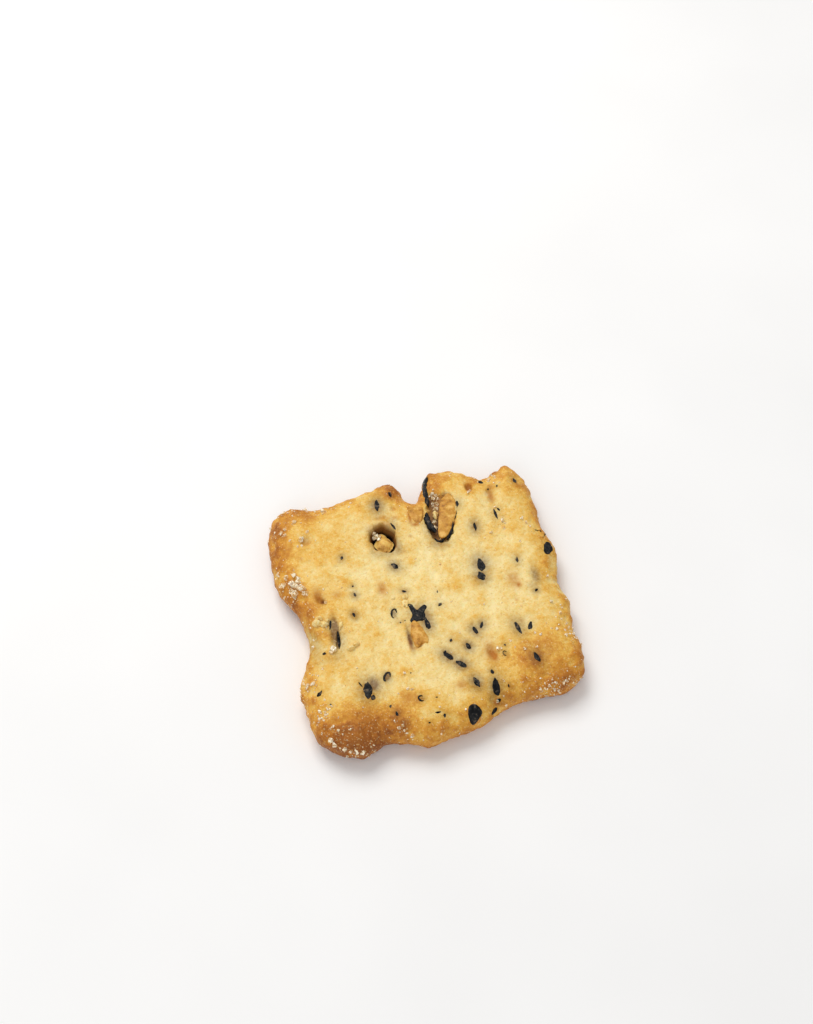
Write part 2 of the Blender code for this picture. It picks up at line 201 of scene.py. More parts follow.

# Grey stains of the bean's colour in the dough, and painted shade on the left rim's slope: across, along,
# half width, half length and amount
STAINS_AND_SHADE = (
    (-2.1, -2.9, 1.9, 1.7, 0.7), (-1.3, -4.8, 1.2, 1.6, 0.65), (17.7, -0.8, 0.8, 1.7, 0.8),
    (16.6, -2.6, 0.8, 0.8, 0.4), (-16, -3.8, 0.6, 2.4, 0.8), (-15.4, -2.4, 0.6, 1.9, 1.3),
    (5, 17.2, 0.7, 1.5, 1), (4.9, 13, 0.6, 2.2, 0.9), (-16.3, 2.6, 0.35, 0.5, 1.1),
    (-4.6, -7.2, 0.35, 1.8, 1.3), (-11.9, -13.4, 1, 1.4, 0.8), (3.6, 11.6, 1.2, 2.6, 0.6),
    (4.6, 8.6, 1.6, 1, 0.6), (-4, 9, 2.4, 0.9, 0.55), (-6.4, 11.6, 0.6, 2.2, 0.5),
    (-2.2, 10.6, 0.5, 2, 0.5), (-12.2, -14, 1.9, 2, 0.4), (2.6, -10.8, 3, 3.2, 0.28),
    (-5.4, -17.6, 0.8, 0.8, 0.6), (9.1, -13.2, 0.6, 0.7, 0.6), (-8.8, -20.9, 0.9, 0.7, 0.45),
    (-5.3, -3.9, 0.9, 0.5, 0.35), (-5.9, -2.2, 0.5, 0.9, 0.9), (-9.6, -12.8, 0.7, 0.9, 1),
    # The first spot on the next line, on the left rim's slope, is painted shade, not a stain
    (-19.3, -4.5, 1.4, 4, 0.4), (-16.6, -7.6, 1.6, 1, 0.25), (15, -14, 2, 1.6, 0.25),
    (-4.2, 13.5, 2.2, 1.2, 0.45),
)

# Bits of black bean skin: across, along, length, width, turn in degrees, and stain of the dough round it
SKIN_BITS = (
    (-3.8, 18.3, 2.3, 0.9, 80, 0.9), (-1.2, 19.7, 1.1, 0.5, 95, 0.4), (-2.2, 13.65, 1.6, 0.4, 108, 0.4),
    (-11.6, 9.8, 0.75, 0.4, 65, 0.6), (-3.7, 6.25, 1.4, 0.8, 128, 0.8), (-11.1, 2.6, 0.75, 0.38, 100, 0.7),
    (-11.1, 4.2, 0.35, 0.25, 20, 0.5), (-12.1, -0.9, 0.85, 0.45, 100, 0.8),
    (-3.4, 1.35, 0.75, 0.35, 150, 0.5), (1.7, 0.05, 0.5, 0.2, 76, 0.2),
    (1.5, -2.35, 0.8, 0.5, 40, 0.3), (9.7, 3.2, 2.4, 1.15, 90, 0.9),
    (9.2, 1.2, 1.7, 1.2, 100, 0.9), (10.7, 10.35, 1.6, 0.5, 84, 0.8), (14.6, 11.9, 2.1, 0.4, 92, 0.3),
    (15.3, 12.7, 0.75, 0.35, 110, 0.3), (13.9, 18.5, 0.9, 0.5, -30, 0.1), (14.7, 16.9, 0.4, 0.3, 60, 0.2),
    (16.3, 17.2, 0.5, 0.25, 70, 0.2), (19.4, 17.5, 1, 0.5, 100, 0.5), (15.6, 2.7, 1.1, 0.42, 80, 0.5),
    (21, 3.6, 2.3, 1.5, 80, 0.2), (21.5, 8.1, 1, 0.14, 176, 0), (21.4, 6.2, 0.55, 0.22, -14, 0),
    (17, -3.5, 0.6, 0.4, 45, 0.7), (5.65, -8.15, 1.6, 0.65, 106, 0.8), (6.9, -7.5, 1.25, 0.5, 66, 0.8),
    (1.55, -9, 0.6, 0.42, 60, 0.5), (3.9, -10.6, 1.25, 0.7, 108, 0.9), (0.4, -11.5, 1.9, 0.8, 124, 0.9),
    (0.1, -10.9, 0.9, 0.45, 70, 0.4), (2, -13.35, 1.8, 0.85, 136, 1), (12.3, -9.25, 2.2, 0.58, 100, 0.7),
    (14.25, -9.45, 1.4, 0.7, 66, 0.2), (9.5, -11.8, 0.4, 0.25, 120, 0.4), (13.7, -15, 2, 0.8, 104, 0.8),
    (-13, -14.3, 3.2, 1.5, 78, 0.8), (-12.5, -15.7, 1, 0.8, 60, 0.4), (-20.3, -13.1, 1.35, 0.6, 45, 0.1),
    (-19.05, -15.3, 0.35, 0.3, 0, 0.2), (-18.1, -6.5, 0.6, 0.45, 20, 0.3), (3.5, -17, 2, 0.95, 104, 0.9),
    (6.3, -15.8, 0.85, 0.5, 96, 0.5), (6.2, -18.6, 3.3, 1.15, 84, 0.8), (4.8, -22.4, 1.5, 0.5, 45, 0.1),
    (5.9, -20.8, 0.9, 0.6, 30, 0.5), (8.1, -18.8, 0.7, 0.25, 84, 0.4), (-10.3, -17.8, 0.55, 0.32, 70, 0.2),
    (-9.65, -19.2, 0.85, 0.4, 95, 0.5), (-3.5, -20.5, 1, 0.3, -4, 0), (-2.7, -21.3, 0.75, 0.4, 76, 0.3),
    (-5.2, -21.9, 0.35, 0.25, 0, 0.2), (-5.9, -13, 0.25, 0.2, 0, 0.1), (-3.1, -18, 0.4, 0.2, 10, 0.2),
    (-5.3, -4, 0.3, 0.22, 40, 0.2), (-4.5, -3.8, 0.25, 0.2, 0, 0.2), (-15.4, -4.7, 3, 0.55, 84, 0.5),
    (-16.1, -1.9, 1.7, 0.35, 76, 0.6), (-13.9, -13, 1.1, 0.2, 112, 0.3), (-1.3, -5.1, 2.1, 0.75, 92, 0.9),
    (9, 15.4, 1.2, 0.55, 80, 0.5),
)
SKIN_LEVEL = 0.04
SKIN_DEPTH = 0.25
SKIN_DENT = 0.1
STAIN_REACH = 1.0

# Larger bits with their own outlines, clockwise
STAR = (
    (-3.4, -1.1), (-2.85, -1.2), (-2.5, -2.1), (-2.2, -2.5), (-1.7, -2.1), (-0.9, -1.75), (-0.6, -2.3),
    (-1.2, -3), (-1.2, -3.7), (-1.7, -4.5), (-2.5, -4.4), (-3.2, -4.7), (-3.8, -4.1), (-3.2, -3.2),
    (-3.3, -2.1),
)
LEAF = ((1.5, -20.5), (2.4, -20.6), (3.0, -21.9), (2.5, -22.8), (1.1, -23.9), (0.75, -22.9), (0.95, -21.4))

# Curled bits, open on one side: across, along, width, length, turn and the width of the skin
CURLS = (
    (-5.9, -2.2, 0.85, 1.7, -14, 0.38),
    (-9.6, -12.8, 0.9, 1.6, -28, 0.5),
    (-5.4, -17.6, 0.8, 1.0, 30, 0.3),
    (9.1, -13.2, 0.6, 0.9, 10, 0.14),
)

# Cut bean: the slab of the half bean, the wedge in the notch and the wedge under the star, clockwise
BEAN_SLAB = (
    (6.9, 17.0), (8.1, 17.7), (8.8, 16.4), (8.7, 14.8), (8.1, 13.0), (7.2, 11.4), (6.0, 10.0), (4.9, 9.6),
    (4.65, 10.6), (5.1, 12.4), (5.7, 14.2), (6.1, 15.7),
)
NOTCH_WEDGE = (
    (0.85, 16.5), (1, 16.65), (1.8, 16.5), (2.6, 16.3), (3.3, 16.1), (3.4, 15.85), (3.15, 15.1),
    (2.8, 14.2), (2.45, 13.2), (2.2, 12.9), (1.8, 13.1), (1.3, 13.8), (0.95, 14.8),
)
MIDDLE_WEDGE = (
    (-3.2, -4.1), (-2.3, -5.6), (-1.9, -7), (-1.9, -8.4), (-2.8, -8.4), (-3.9, -8.9), (-4.15, -7.8),
    (-4.25, -6.4), (-3.8, -5),
)

# Their tops over the dough and their crowns
CUT_BEAN = ((BEAN_SLAB, -0.05, 0.2), (NOTCH_WEDGE, 0.14, 0.06), (MIDDLE_WEDGE, 0.1, 0.12))

# The bean in the pit: across, along, half width, half length and height
PIT_BEAN = (-4.4, 10.85, 1.5, 1.95, 5)

# Crumbs of pale dough: across, along, length, width, turn and height
CRUMBS = (
    (-18.1, -1.0, 1.5, 1.2, 20, 0.8),
    (-17.1, -1.4, 1.5, 1.1, -20, 0.7),
    (-17.7, -0.3, 1.1, 0.9, 0, 0.7),
    (-16.4, -0.9, 0.8, 0.6, 40, 0.5),
    (-13.9, -6.6, 1.3, 0.9, 10, 0.7),
    (-13.0, -6.2, 1.1, 0.8, 30, 0.65),
    (-3.8, -0.9, 1.7, 1.2, 96, 0.5),
    (-3.5, 0.3, 1.2, 1.0, 80, 0.45),
    (-5.3, 0.5, 0.7, 0.5, 0, 0.25),
    (-14.5, -2.2, 1.3, 0.5, 60, 0.45),
    (4.95, 13.9, 1.7, 0.9, 85, 0.7),
)

# Skin walls of the half bean: points along each, then its width and how far it stands over the dough
SKIN_WALLS = (
    (((5.6, 21.6), (4.9, 20.6), (4.5, 19.2), (4.35, 17.8), (4.3, 16.0)), 0.85, 0.12),
    (((3.7, 14.8), (3.5, 13.6), (3.7, 12.2), (4.3, 10.9)), 0.95, 0.12),
    (((3.75, 9.7), (4.2, 9.05), (4.9, 9.05), (5.3, 9.4)), 0.4, 0.10),
    (((5.7, 9.2), (6.4, 9.9), (7.1, 11.0), (7.5, 12.2)), 0.42, 0.06),
    (((7.7, 12.4), (8.5, 13.6), (8.9, 14.9)), 0.14, 0.02),
)

# Larger grains of sugar: across, along and size
GRAINS = (
    (-22.0, 9.1, 0.8), (-20.9, 8.4, 0.9), (-19.7, 8.2, 0.9), (-21.7, 7.0, 1.0), (-20.4, 6.8, 1.2),
    (-19.8, 6.3, 1.1), (-19.4, 7.1, 1.0), (-20.2, 4.9, 1.3), (-20.5, 4.4, 0.8), (-19.0, 5.7, 1.2),
    (-18.6, 5.0, 1.2), (-19.2, 7.7, 0.7), (-20.7, 5.7, 0.8), (-17.3, 14.8, 0.9), (-17.0, 14.9, 0.6),
    (-18.0, 13.7, 0.4), (-17.4, 13.5, 0.4), (-17.5, 18.3, 0.6), (-18.0, 18.1, 0.45), (-19.4, 17.2, 0.5),
    (-20.1, 16.6, 0.6), (-19.6, 16.2, 0.5), (-16.0, 16.0, 0.55), (-21.5, 18.0, 0.5), (-15.3, 20.0, 0.8),
    (-12.7, 19.2, 0.7), (-12.2, 19, 0.6), (-18.3, 20.2, 0.5), (5.6, 18.3, 0.6), (6, 17.8, 0.7),
    (5.4, 17.3, 0.6), (6.2, 17.1, 0.6), (5.2, 16.4, 0.55), (5.7, 16.1, 0.65), (5.2, 15.7, 0.55),
    (5, 15.2, 0.4), (4.5, 12.6, 0.8), (4.2, 12.3, 0.7), (4.35, 11.6, 0.75), (4.7, 9.4, 0.35),
    (5.9, 18.9, 0.45), (11.3, 17, 0.55), (11.8, 17.2, 0.45), (15.3, 19.6, 0.7), (16, 19.5, 0.45),
    (15.3, 10.4, 0.75), (15.2, 9.1, 0.5), (15.6, 9.8, 0.35), (12.9, 8.7, 0.6), (18.5, 10.2, 0.55),
    (18.9, 9.1, 0.45), (14.9, 13.2, 0.45), (-16.5, -6.2, 1.15), (-17, -6.6, 0.8), (-15.9, 2.3, 0.5),
    (-20.2, -21, 0.9), (-19.9, -21.9, 0.8), (-18.6, -23.1, 0.7), (-17.9, -23.5, 0.6),
    (-16.9, -24.0, 0.6), (-16.1, -24.2, 0.6), (-8.2, -23.3, 0.7), (-3.9, -24.1, 0.45), (-6.9, -12.8, 0.4),
    (-6.4, -15.8, 0.45), (-7.0, -15.5, 0.5), (8.1, -12.3, 0.75), (8.7, -12.2, 0.45), (15.4, -11.3, 0.45),
    (14.6, -10.8, 0.4), (18.1, -11.0, 0.6), (19.2, -12.3, 0.55), (20.3, -12.6, 0.6), (20.5, -13.3, 0.5),
    (18.6, -6.3, 0.6), (19.4, -8.4, 0.6), (19.9, -7.6, 0.4), (16.4, -20.3, 0.6), (16.9, -20.0, 0.5),
    (14.1, -20.2, 0.5), (13.3, -20.5, 0.5), (12.7, -20.4, 0.45), (6.7, -21.9, 0.55), (5.7, -20.9, 0.5),
    (0.7, -21.1, 0.4), (-21.7, -11.4, 0.7), (-22.2, -10.9, 0.6), (-20.8, -11.2, 0.6), (-20.9, -16.0, 0.6),
    (-20.2, -16.8, 0.6), (-21.3, -17.2, 0.5), (-19.7, -15.9, 0.45), (-9.9, -21.6, 0.5), (-9.2, -21.3, 0.5),
    (12.3, -13.2, 0.55), (14.2, -13.4, 0.4), (10.5, -11.2, 0.4), (19.4, -1.4, 0.45), (-12.9, 4.5, 0.35),
    (17.0, 6.0, 0.35), (-19.5, -19.0, 0.5), (-18.9, -19.8, 0.45), (-8.6, -16.0, 0.3), (-14.4, -16.9, 0.3),
    (5.4, 15.1, 0.8),
)
PIT_GRAINS = (
    (-5.6, 12.9, 0.75), (-5.35, 12.3, 0.75), (-4.85, 12.15, 0.7), (-5.7, 12.1, 0.6), (-5, 11.7, 0.6),
)
PIT_GRAIN_HEIGHT = 5.1

# Scattered grains: number to the square metre of whole coating, sizes, and how rare large ones are
GRAIN_DENSITY = 1.3e7
GRAIN_SIZE = (0.1, 0.44)
GRAIN_RARITY = 2.8
GRAIN_SHAPES = 8
GRAIN_CORNERS = 15

# Coating of grains: at the rim and how far in, on the face, and patches as for the browning
COATING_REACH = 2.4
COATING_AT_RIM = 0.03
COATING_ON_FACE = 0.005
COATINGS = (
    (-21.6, -11.2, 1.8, 1.6, 0.35), (-20.6, -16.4, 1.5, 1.5, 0.35), (-18.5, -22.3, 4, 1.8, 0.14),
    (-20.2, 6.4, 1.6, 2.4, 0.2), (-17.5, 20.6, 3.4, 1.2, 0.35), (-18.8, 17.3, 2.4, 1.8, 0.12),
    (-12.5, 19.8, 1.6, 0.9, 0.25), (15, -20.2, 4, 1.1, 0.35), (20.2, -11.8, 1.6, 2, 0.3),
    (5.9, 17, 0.7, 0.9, 0.3), (-9.4, -21.4, 1.5, 1, 0.2), (17.5, -11, 2.4, 1.2, 0.1),
    (15.6, 19.6, 1.2, 0.8, 0.25), (-17, -2.5, 1.2, 2, 0.06),
)


def between(a, b, c, d, t):
    """The smooth curve from b to c, between their neighbours a and d, at shares t of its way."""
    bend = (2 * a - 5 * b + 4 * c - d) * t**2 + (3 * b - a - 3 * c + d) * t**3
    return b + ((c - a) * t + bend) / 2


def closed_curve(points, samples):
    """A smooth closed curve through the points, sampled evenly along its length."""
    knots = np.array(points)
    t = np.linspace(0, 1, 24, endpoint=False)[:, None]
    neighbours = zip(np.roll(knots, 1, 0), knots, np.roll(knots, -1, 0), np.roll(knots, -2, 0))
    pieces = [between(*four, t) for four in neighbours]
    dense = np.vstack([*pieces, pieces[0][:1]])
    run = np.concatenate([[0], np.cumsum(np.linalg.norm(np.diff(dense, axis=0), axis=1))])
    even = np.linspace(0, run[-1], samples, endpoint=False)
    return np.column_stack([np.interp(even, run, dense[:, axis]) for axis in (0, 1)])


OUTLINE = closed_curve(RIM_POINTS, RIM_SAMPLES)


def inset_of(points):
    """How far in from the rim each point lies."""
    rim = OUTLINE[::2]
    step = np.roll(rim, -1, 0) - rim
    found = []
    for some in np.array_split(points[:, :2], max(1, len(points) // 2000)):
        away = some[:, None, :] - rim[None]
        share = np.clip((away * step).sum(2) / (step * step).sum(1), 0, 1)
        found.append(np.linalg.norm(away - share[..., None] * step, axis=2).min(1))
    return np.concatenate(found)


def soft_spots(points, spots):
    """The sum of soft round spots at each point."""
    total = np.zeros(len(points))
    for across, along, half_width, half_length, amount in spots:
        off = ((points[:, 0] - across) / half_width) ** 2 + ((points[:, 1] - along) / half_length) ** 2
        total += amount * np.exp(-off)
    return total


def waves(points, length, layer):
    """Waves from -1 to 1 of the given length over the plan, another set for each layer."""
    return np.array([noise.noise(Vector((x / length, y / length, layer))) for x, y in points[:, :2]])


def lumps(points, length):
    """Waves from -1 to 1 of the given length all through space."""
    return np.array([noise.noise(Vector(point) / length) for point in points])


def smooth_step(share):
    """Rises smoothly from 0 to 1 as the share does."""
    share = np.clip(share, 0, 1)
    return share * share * (3 - 2 * share)


def rim_height(points):
    """Height of the rim's widest line, which rises and falls a little."""
    return RIM_HEIGHT + RIM_WAVE_HEIGHT * waves(points, WAVE_LENGTH, RIM_LAYER)


def quarter(inset, reach, fullness):
    """Height along a full quarter curve, from 0 at the rim to 1 where it has levelled out."""
    left = 1 - np.clip(inset / reach, 0, 1)
    return (1 - left**fullness) ** (1 / fullness)


def top_height(points, inset):
    """Height of the top face over the surface that the cracker lies on, without its fine relief."""
    rim = rim_height(points)
    level = rim + (CROWN_HEIGHT - rim) * quarter(inset, TOP_REACH, TOP_FULLNESS)
    relief = soft_spots(points, SWELLS) + WAVE_HEIGHT * waves(points, WAVE_LENGTH, 0)
    return level + relief * np.clip(inset / TOP_REACH, 0, 1)


def foot_height(points, inset):
    """Height of the underside, which is flat inside the rounded foot of the rim."""
    return rim_height(points) * (1 - quarter(inset, FOOT_REACH, FOOT_FULLNESS))


def eased(points, times):
    """The points of a ring, each drawn towards its neighbours the given number of times."""
    for _ in range(times):
        points = (np.roll(points, 1, 0) + 2 * points + np.roll(points, -1, 0)) / 4
    return points


def thinned(share):
    """One in how many samples a ring keeps, by its share of the shoulder line's size."""
    return 4 if share < QUARTERED_AT else 2 if share < HALVED_AT else 1


def dough_rings():
    """Rings of the underside from its middle out, then of the top from the rim to its middle."""
    shoulder = eased(OUTLINE, SHOULDER_EASING) * SHOULDER_SHARE
    under = []
    for step in range(1, FLAT_RINGS + 1):
        share = step / (FLAT_RINGS + 1)
        under.append((shoulder * share)[:: 2 * thinned(share)])
    for step in range(FOOT_RINGS, 0, -1):
        share = (step / FOOT_RINGS) ** FOOT_CROWDING
        under.append(OUTLINE + (shoulder - OUTLINE) * share)
    top = [OUTLINE]
    for step in range(1, TOP_RINGS + 1):
        share = (step / TOP_RINGS) ** TOP_CROWDING
        top.append(OUTLINE + (shoulder - OUTLINE) * share)
    for step in range(1, MIDDLE_RINGS + 1):
        share = 1 - step / (MIDDLE_RINGS + 1)
        top.append((shoulder * share)[:: thinned(share)])
    return under, top


def bridge(near, near_count, far, far_count):
    """Faces from one ring to the next, which may have half or twice as many points."""
    faces = []
    count = min(near_count, far_count)
    for i in range(count):
        after = (i + 1) % count
        if near_count == far_count:
            faces.append((near + i, far + i, far + after, near + after))
        elif near_count > far_count:
            first, middle, last = near + 2 * i, near + 2 * i + 1, near + 2 * after
            faces += [(first, far + i, middle), (middle, far + i, far + after), (middle, far + after, last)]
        else:
            here, there = near + i, near + after
            first, middle, last = far + 2 * i, far + 2 * i + 1, far + 2 * after
            faces += [(here, first, middle), (here, middle, there), (there, middle, last)]
    return faces


def lathe_faces(counts):
    """Faces of rings with the given numbers of points, closed by one point before them and one after."""
    faces = []
    start = 1
    for i in range(counts[0]):
        faces.append((0, start + i, start + (i + 1) % counts[0]))
    for count, following in zip(counts, counts[1:]):
        faces += bridge(start, count, start + count, following)
        start += count
    for i in range(counts[-1]):
        faces.append((start + i, start + counts[-1], start + (i + 1) % counts[-1]))
    return faces


def dough_form():
    """Points and faces of the dough without its fine relief, and how far in from the rim each lies."""
    under, top = dough_rings()
    flat = np.vstack([[(0, 0)], *under, *top, [(0, 0)]])
    inset = inset_of(flat)
    split = 1 + sum(len(ring) for ring in under)
    foot = foot_height(flat[:split], inset[:split])
    face = top_height(flat[split:], inset[split:])
    faces = lathe_faces([len(ring) for ring in under + top])
    return np.column_stack([flat, np.concatenate([foot, face])]), faces, inset


def new_object(name, data):
    """An object in the scene from a mesh, a lamp or a camera."""
    made = bpy.data.objects.new(name, data)
    bpy.context.scene.collection.objects.link(made)
    return made


def mesh_of(name, points, faces, finish):
    """An object in the scene from points in millimetres, smooth shaded."""
    mesh = bpy.data.meshes.new(name)
    mesh.from_pydata([Vector(point) * MM for point in points], [], faces)
    mesh.materials.append(finish)
    mesh.shade_smooth()
    return new_object(name, mesh)


def normals_of(mesh):
    """The direction that each point of a mesh faces."""
    flat = np.empty(len(mesh.vertices) * 3)
    mesh.vertex_normals.foreach_get("vector", flat)
    return flat.reshape(-1, 3)


def set_mask(mesh, name, values):
    """Stores a number at each point of a mesh, for its material or for a scatter."""
    mask = mesh.attributes.new(name, "FLOAT", "POINT")
    mask.data.foreach_set("value", values.astype(np.float32))


class Surface:
    """The dough's surface, to find where the photograph shows things on it."""

    def __init__(self, points, faces):
        self.tree = BVHTree.FromPolygons([Vector(point) for point in points], faces)

    def seen(self, across, along):
        """Place and facing of the dough along the line of sight through a place on the reading plane."""
        target = Vector((across, along, READ_LEVEL))
        place, facing, _, _ = self.tree.ray_cast(EYE, target - EYE)
        if place is None:
            place, facing, _, _ = self.tree.find_nearest(target)
        return place, facing

    def carried(self, rows):
        """Rows of numbers that start with a place on the reading plane, moved to the dough."""
        return [(*self.seen(*row[:2])[0].xy, *row[2:]) for row in rows]


class Level:
    """A level plane, used like a surface."""

    def __init__(self, height):
        self.height = height

    def seen(self, across, along):
        """Place and facing of the plane along the line of sight through a place on the reading plane."""
        sight = Vector((across, along, READ_LEVEL)) - EYE
        return EYE + sight * ((self.height - EYE.z) / sight.z), Vector((0, 0, 1))


def hollow_relief(points, hollows):
    """How far down the steep hollows go at each point, and how far up their lips stand."""
    depth = np.zeros(len(points))
    lip = np.zeros(len(points))
    ragged = HOLLOW_RAGGEDNESS * waves(points, 0.9, 21)
    for across, along, half_width, half_length, turn, most, wall, rise in hollows:
        angle = math.radians(turn)
        right = (points[:, 0] - across) * math.cos(angle) + (points[:, 1] - along) * math.sin(angle)
        away = (points[:, 1] - along) * math.cos(angle) - (points[:, 0] - across) * math.sin(angle)
        off = np.hypot(right / half_width, away / half_length) + ragged
        depth = np.maximum(depth, most * smooth_step((1.06 - off) / wall) ** 0.7)
        lip += rise * np.exp(-(((off - 1.2) / 0.2) ** 2))
    return depth, lip


def speckles(points, number, sizes, rng):
    """Small round marks at random places of the face, from 0 to 1 at each point."""
    total = np.zeros(len(points))
    for _ in range(number):
        across, along = rng.uniform(-22, 22), rng.uniform(-23, 23)
        size = rng.uniform(*sizes)
        off = ((points[:, 0] - across) ** 2 + (points[:, 1] - along) ** 2) / size**2
        total = np.maximum(total, np.exp(-off))
    return total


def near_skin(points, surface, reach, by_stain):
    """How near each point is to a bit of black skin, from 0 to 1, weighted by the bit's stain if asked."""
    total = np.zeros(len(points))
    for across, along, length, width, turn, stain in SKIN_BITS:
        place, facing = surface.seen(across, along)
        ahead = Vector((math.cos(math.radians(turn)), math.sin(math.radians(turn)), 0))
        ahead = (ahead - facing * ahead.dot(facing)).normalized()
        aside = facing.cross(ahead)
        off = points - np.array(place)
        spread = reach * min(1, 0.35 + length / 3.5)
        far = (off @ np.array(ahead) / (length / 2 + spread)) ** 2
        far += (off @ np.array(aside) / (width / 2 + spread)) ** 2
        far += (off @ np.array(facing)) ** 2
        total = np.maximum(total, np.exp(-far) * (stain if by_stain else 1))
    return total


def dough_body(form, surface, finish, rng):
    """The dough with its rim, hollows, lumps, blisters and pores, and the masks of its colours."""
    points, faces, inset = form
    made = mesh_of("dough", points, faces, finish)
    facing = normals_of(made.data)
    upper = smooth_step((points[:, 2] - 1.0) / 2.0)
    near_rim = np.exp(-((inset / RIM_LAYERS_REACH) ** 2))
    over_foot = smooth_step(points[:, 2] / 0.8)
    fine = np.zeros(len(points))
    for length, height in CRUST_LAYERS:
        fine += height * lumps(points, length)
    rough = np.zeros(len(points))
    for length, height in RIM_LAYERS:
        rough += height * lumps(points, length)
    fine += rough * near_rim
    fine += BLISTER_HEIGHT * speckles(points, BLISTERS, BLISTER_SIZE, rng) * upper
    fine -= PORE_DEPTH * speckles(points, PORES, PORE_SIZE, rng) * upper
    sunk, lip = hollow_relief(points, surface.carried(HOLLOWS))
    on_top = points[:, 2] > rim_height(points)
    dents = SKIN_DENT * near_skin(points, surface, 0.05, False)
    moved = points + facing * ((fine - dents) * over_foot)[:, None]
    moved[:, 2] += (lip - sunk) * on_top
    under_dents = 0.14 * np.clip(lumps(points, 1.7) + 0.1, 0, 1) * (points[:, 2] < 0.01)
    moved[:, 2] = np.maximum(moved[:, 2] + under_dents, 0)
    made.data.vertices.foreach_set("co", (moved * MM).ravel())
    made.data.update()
    steep = np.exp(-((inset / BROWNING_REACH) ** 2))
    # Browning of the crust, with one listed patch of painted shade
    browning = BROWNING + BROWNING_AT_RIM * steep + soft_spots(points, BROWNING_AND_SHADE_PATCHES)
    browning = browning + BROWNING_WAVES * waves(points, 3.4, 11)
    browning += 0.9 * fine + 0.18 * (1 - upper)
    set_mask(made.data, "browning", np.clip(browning, 0, 1))
    set_mask(made.data, "caramel", np.clip(soft_spots(points, surface.carried(CARAMELS)) * upper, 0, 1.4))
    # Grey stains round the skin bits and at the listed spots, one of which is painted shade on the left
    # slope
    stain = near_skin(points, surface, STAIN_REACH, True)
    stain = np.maximum(stain, soft_spots(points, surface.carried(STAINS_AND_SHADE)))
    set_mask(made.data, "stain", np.clip(stain * upper, 0, 1))
    # Depth of the hollows, which the finish turns into painted shade, and in the pit into a painted shadow
    set_mask(made.data, "sunk", np.clip(sunk * on_top / DEEPEST, 0, 1))
    coating = COATING_ON_FACE + COATING_AT_RIM * np.exp(-((inset / COATING_REACH) ** 2)) * upper
    coating += soft_spots(points, surface.carried(COATINGS)) * upper
    coating *= 1 - np.clip(1.8 * near_skin(points, surface, 0.2, False), 0, 1)
    set_mask(made.data, "coating", coating * smooth_step((points[:, 2] - 0.5) / 1.0))
    return made, moved


def slab(outline, lifts, crown, surface, facing=None, rings=5):
    """Points and faces of a flat piece laid on a surface.

    Its outline is given on the reading plane, clockwise. Its lifts are how far its foot lies under the
    surface and its top edge over it. Its middle is domed by its crown.
    """
    centre = outline.mean(0)
    foot, top = lifts
    layers = [(0.86, foot), (1.0, foot * 0.4), (1.0, top * 0.5), (0.94, top)]
    for ring in range(1, rings):
        share = 0.94 * (1 - ring / rings)
        layers.append((share, top + crown * (1 - share**2)))
    spots = [(centre, foot)]
    for share, lift in layers:
        spots += [(centre + (spot - centre) * share, lift) for spot in outline]
    spots.append((centre, top + crown))
    points = []
    for spot, lift in spots:
        place, here = surface.seen(*spot)
        points.append(place + (facing or here) * lift)
    return points, lathe_faces([len(outline)] * len(layers))


def turned(across, along, right, away, turn):
    """A place right of and away from another, in directions turned by the given degrees."""
    angle = math.radians(turn)
    return (
        across + right * math.cos(angle) - away * math.sin(angle),
        along + right * math.sin(angle) + away * math.cos(angle),
    )


def ragged_oval(across, along, length, width, turn, sides, rng, ragged=0.12):
    """An uneven outline, clockwise: from diamond to oval, broader at one end, with chipped sides."""
    fullness = rng.uniform(1.35, 2.1)
    lean = rng.choice((-1, 1)) * rng.uniform(0.1, 0.35)
    phase = rng.uniform(0, 20)
    spots = []
    for side in range(sides):
        round_by = -2 * math.pi * side / sides
        cosine, sine = math.cos(round_by), math.sin(round_by)
        out = (abs(cosine) ** fullness + abs(sine) ** fullness) ** (-1 / fullness)
        out *= 1 + 2.2 * ragged * noise.noise(Vector((cosine * 1.3, sine * 1.3, phase)))
        out *= 1 + ragged * rng.uniform(-0.5, 0.5)
        spots.append(turned(
            across, along, cosine * out * length / 2, sine * out * width / 2 * (1 - lean * cosine), turn,
        ))
    return np.array(spots)


class Pile:
    """Points and faces of many small pieces, gathered into one mesh."""

    def __init__(self):
        self.points = []
        self.faces = []

    def add(self, points, faces):
        start = len(self.points)
        self.points += [Vector(point) for point in points]
        self.faces += [tuple(start + corner for corner in face) for face in faces]

    def roughen(self, length, height):
        """Moves every point a little, by waves of the given length."""
        self.points = [point + noise.noise_vector(point / length) * height for point in self.points]

    def made(self, name, finish):
        return mesh_of(name, self.points, self.faces, finish)


def open_curve(route, samples):
    """A smooth open curve through the points of a route, and the sideways direction at each sample."""
    knots = np.array(route)
    padded = np.vstack([2 * knots[0] - knots[1], knots, 2 * knots[-1] - knots[-2]])
    shares = np.linspace(0, 1, samples // (len(knots) - 1) + 1, endpoint=False)
    neighbours = zip(padded, padded[1:], padded[2:], padded[3:])
    line = [between(*four, t) for four in neighbours for t in shares]
    line = np.array([*line, knots[-1]])
    along = np.gradient(line, axis=0)
    along /= np.linalg.norm(along, axis=1)[:, None]
    return line, np.column_stack([along[:, 1], -along[:, 0]])


# Section of a strip of skin: sideways as a share of its width, and up
STRIP_SECTION = (
    (-0.5, -0.4), (-0.5, 0), (-0.3, 0.1), (0, 0.06), (0.3, 0), (0.5, -0.12), (0.5, -0.4),
)


